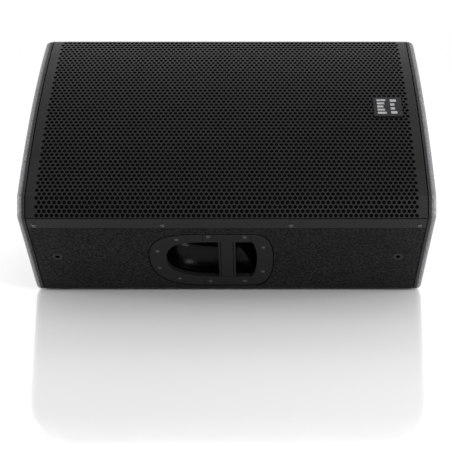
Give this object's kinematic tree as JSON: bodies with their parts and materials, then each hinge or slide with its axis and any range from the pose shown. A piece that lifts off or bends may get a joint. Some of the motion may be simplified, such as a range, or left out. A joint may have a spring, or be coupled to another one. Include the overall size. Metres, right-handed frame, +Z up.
{
  "type": "stage monitor wedge",
  "caption": "Two-way powered loudspeaker cabinet lying on its monitor face, with a curved perforated grille, thick end cheeks and recessed side handles.",
  "frame": {"origin": "centre of the bounding box at floor level, under the rubber feet", "axes": "+X along the cabinet towards its base cheek, -Y towards the performer in front of the grille, +Z up"},
  "size_m": [0.7, 0.5662, 0.4256],
  "materials": {
    "coated_plywood": "fine textured black coating",
    "coated_cheek": "fine textured black coating",
    "inner_plywood": "dark stained, matt",
    "damping_felt": "grey fibre",
    "grille_steel": "black powder coat, satin",
    "black_screws": "black zinc",
    "black_steel": "black zinc",
    "open_foam": "open-cell foam",
    "gasket_foam": "closed-cell foam",
    "badge_metal": "dark satin plate",
    "foot_rubber": "matt",
    "black_aluminium": "black anodised",
    "surround_cloth": "doped cloth",
    "cone_paper": "coated paper",
    "coil_copper": "enamelled wire",
    "spider_cloth": "resin-stiffened cloth",
    "zinc_steel": "zinc plated",
    "ferrite": "ground ferrite",
    "horn_plastic": "satin",
    "titanium_dome": "thin formed metal",
    "panel_aluminium": "black powder coat",
    "circuit_board": "green laminate",
    "socket_plastic": "satin",
    "latch_steel": "bright",
    "knob_plastic": "soft touch",
    "light_lens": "clear tinted",
    "rocker_plastic": "gloss",
    "cable_sheath": "matt",
    "handle_plastic": "fine grain"
  },
  "bodies": {
    "cabinet": {"amp_chamber": "zinc_steel", "amp_panel": "panel_aluminium", "amp_panel_screws": "black_screws", "amplifier_board": "circuit_board", "back_panel": "coated_plywood", "badge": "badge_metal", "baffle": "inner_plywood", "base_cheek": "coated_cheek", "control_pots": "zinc_steel", "cross_brace": "inner_plywood", "damping_lining": "damping_felt", "driver_front_plate": "zinc_steel", "driver_magnet": "ferrite", "driver_rear_cover": "horn_plastic", "driver_screws": "black_screws", "driver_suspension": "horn_plastic", "far_handle_cup": "handle_plastic", "far_handle_grip": "handle_plastic", "far_handle_long_ring": "handle_plastic", "far_handle_short_ring": "handle_plastic", "far_side_wall": "coated_plywood", "fitting_screws": "black_screws", "floor_panel": "coated_plywood", "fly_point_inserts": "black_steel", "grille": "grille_steel", "grille_foam": "open_foam", "grille_screws": "black_screws", "heatsink": "black_aluminium", "horn": "horn_plastic", "internal_cables": "cable_sheath", "mains_inlet": "socket_plastic", "near_handle_cup": "handle_plastic", "near_handle_grip": "handle_plastic", "near_handle_long_ring": "handle_plastic", "near_handle_short_ring": "handle_plastic", "near_side_wall": "coated_plywood", "pole_socket": "black_aluminium", "port_tubes": "horn_plastic", "power_supply": "circuit_board", "power_switch_frame": "socket_plastic", "rubber_feet": "foot_rubber", "status_lights": "light_lens", "top_cheek": "coated_cheek", "woofer_back_plate": "zinc_steel", "woofer_basket": "black_aluminium", "woofer_gasket": "gasket_foam", "woofer_magnet": "ferrite", "woofer_spider": "spider_cloth", "woofer_surround": "surround_cloth", "woofer_top_plate": "zinc_steel", "xlr_input": "socket_plastic", "xlr_link": "socket_plastic"},
    "woofer_cone_set": {"woofer_cone": "cone_paper", "woofer_dust_cap": "cone_paper", "woofer_voice_coil": "coil_copper"},
    "diaphragm": {"driver_diaphragm": "titanium_dome"},
    "level_knob": {"level_knob": "knob_plastic"},
    "mode_knob": {"mode_knob": "knob_plastic"},
    "power_rocker": {"power_rocker": "rocker_plastic"},
    "xlr_latch": {"xlr_latch": "latch_steel"}
  },
  "joints": [
    {"name": "cone_travel", "type": "slide", "parent": "cabinet", "child": "woofer_cone_set", "axis": [0, -0.5736, 0.8192], "range_m": [-0.008, 0.008], "stiffness_N_per_m": 5000, "deforming": ["woofer_surround", "woofer_spider"]},
    {"name": "diaphragm_travel", "type": "slide", "parent": "cabinet", "child": "diaphragm", "axis": [0, -0.5736, 0.8192], "range_m": [-0.0004, 0.0004], "stiffness_N_per_m": 4000, "deforming": ["driver_suspension"]},
    {"name": "level_turn", "type": "hinge", "parent": "cabinet", "child": "level_knob", "pos_m": [0.052, 0.23704, 0.08547], "axis": [0, 0.5736, -0.8192], "range_deg": [-150, 150]},
    {"name": "mode_turn", "type": "hinge", "parent": "cabinet", "child": "mode_knob", "pos_m": [0.052, 0.17479, 0.04188], "axis": [0, 0.5736, -0.8192], "range_deg": [-60, 60]},
    {"name": "rocker_tilt", "type": "hinge", "parent": "cabinet", "child": "power_rocker", "pos_m": [0.132, 0.20018, 0.07187], "axis": [1, 0, 0], "range_deg": [-16, 0]},
    {"name": "latch_press", "type": "slide", "parent": "cabinet", "child": "xlr_latch", "axis": [0, -0.5736, 0.8192], "range_m": [0, 0.0015], "stiffness_N_per_m": 300}
  ]
}
